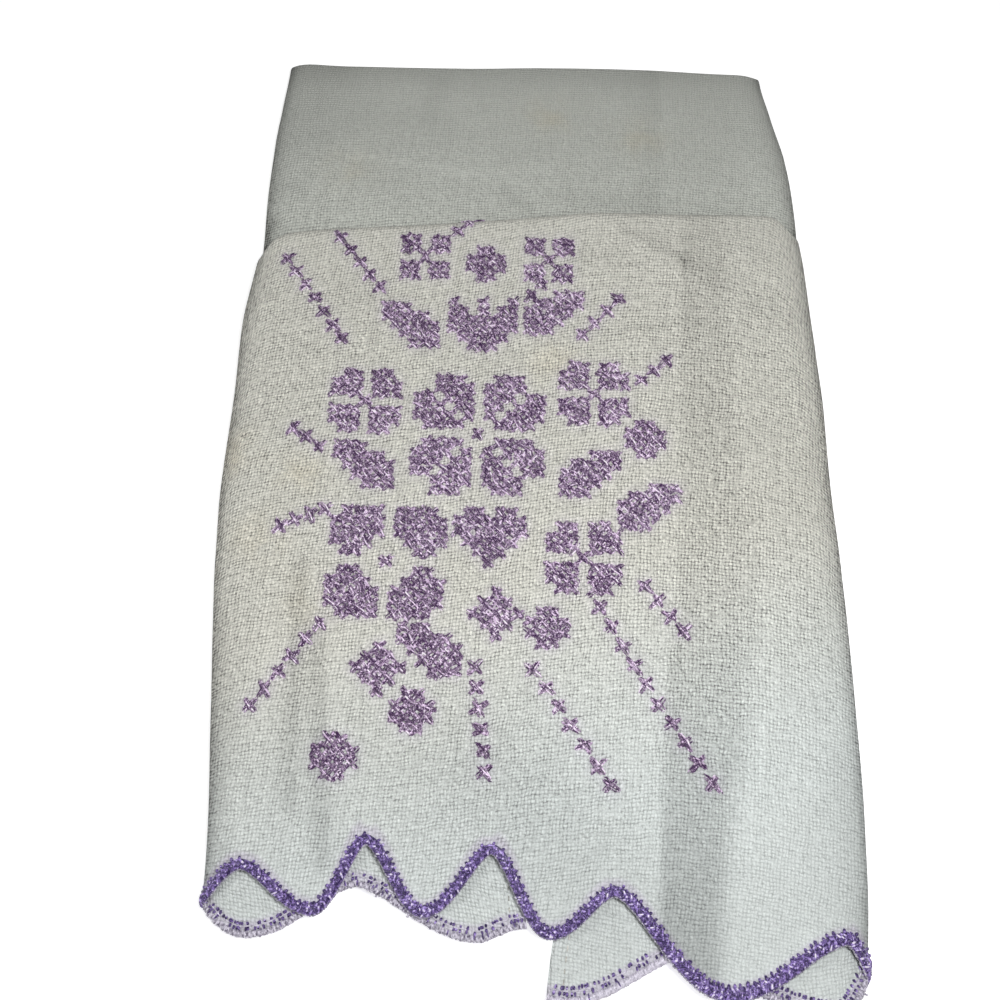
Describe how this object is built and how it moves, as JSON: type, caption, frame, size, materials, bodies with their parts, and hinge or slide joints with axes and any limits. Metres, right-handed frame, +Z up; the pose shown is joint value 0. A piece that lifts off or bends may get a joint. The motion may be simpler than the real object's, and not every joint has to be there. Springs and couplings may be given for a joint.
{
  "type": "folded kitchen towel",
  "caption": "Linen kitchen towel folded into a narrow oblong, with a scalloped hem at the front and its back panel showing past the first fold.",
  "frame": {"origin": "bottom centre of the folded towel's box, on the surface it rests on", "axes": "+X across the folded strip, +Y from the scalloped hem to the far fold, +Z up"},
  "size_m": [0.2012, 0.333, 0.0145],
  "materials": {
    "linen": "matte plain-woven linen, off-white, with mauve cotton stitching"
  },
  "bodies": {
    "root": {"towel_cloth": "linen"}
  },
  "joints": []
}
